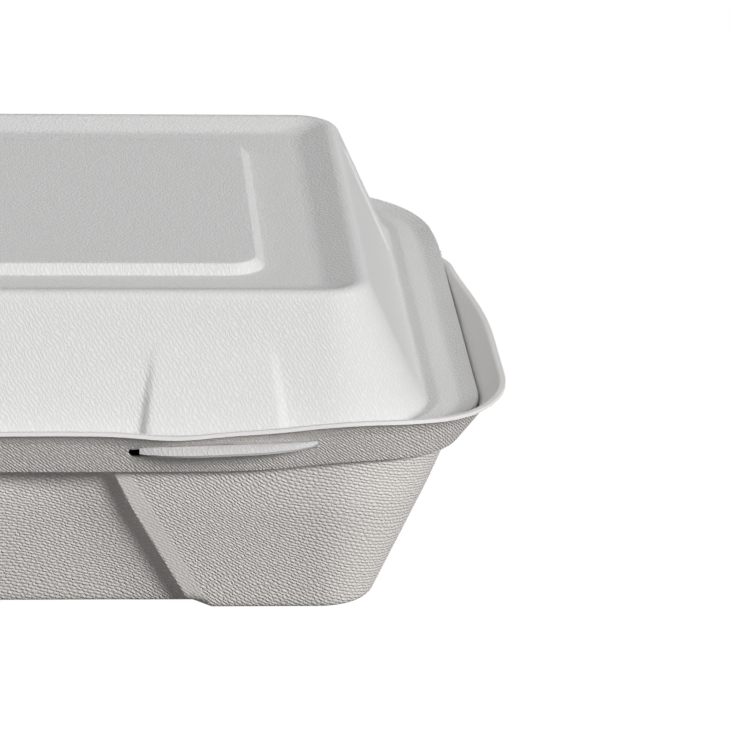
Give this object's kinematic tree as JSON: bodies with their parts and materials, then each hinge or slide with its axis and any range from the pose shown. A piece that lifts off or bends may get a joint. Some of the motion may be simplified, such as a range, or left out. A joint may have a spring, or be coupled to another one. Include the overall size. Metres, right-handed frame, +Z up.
{
  "type": "clamshell takeout container",
  "caption": "Square moulded-fibre clamshell food box: a flared tray with a finger recess, and a domed lid hinged at the back that locks with tongues in rim slots.",
  "frame": {"origin": "middle of the flat floor of the tray, on the table", "axes": "+Z up, front with the lock slots towards -Y, hinge along X at the back"},
  "size_m": [0.2268, 0.2222, 0.0823],
  "materials": {
    "fibre": "matte pressed plant fibre with a fine screen imprint"
  },
  "bodies": {
    "tray": {"tray": "fibre"},
    "lid": {"lid": "fibre"}
  },
  "joints": [
    {"name": "lid_hinge", "type": "hinge", "parent": "tray", "child": "lid", "pos_m": [0, 0.1077, 0.052], "axis": [-1, 0, 0], "range_deg": [0, 180]}
  ]
}
